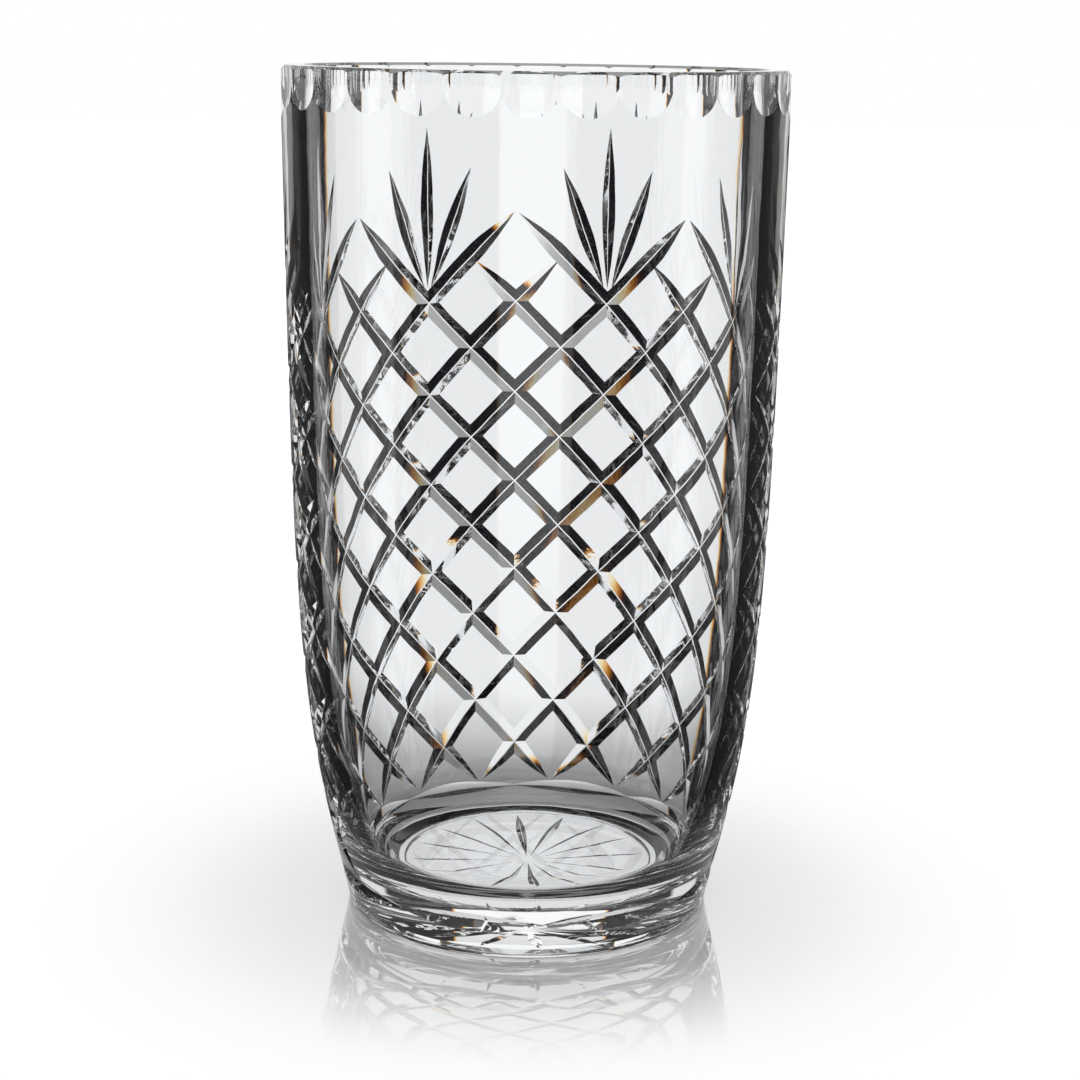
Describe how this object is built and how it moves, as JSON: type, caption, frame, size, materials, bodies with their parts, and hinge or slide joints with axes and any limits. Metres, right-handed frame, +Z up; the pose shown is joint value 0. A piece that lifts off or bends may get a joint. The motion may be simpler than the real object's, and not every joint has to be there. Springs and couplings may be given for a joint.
{
  "type": "cut crystal vase",
  "caption": "Tall tapering crystal vase with a diamond lattice of V cuts, pointed fans, a scalloped rim and a plain front panel; holds flowers and water.",
  "frame": {"origin": "centre of the foot, on the surface that the vase stands on", "axes": "+Z up along the vase's axis, -Y out of the middle of the plain front panel, +X to the right of someone who faces that panel"},
  "size_m": [0.1476, 0.148, 0.254],
  "materials": {
    "cut_crystal": "wheel cut and acid polished, clear"
  },
  "bodies": {
    "root": {"vase_body": "cut_crystal"}
  },
  "joints": []
}
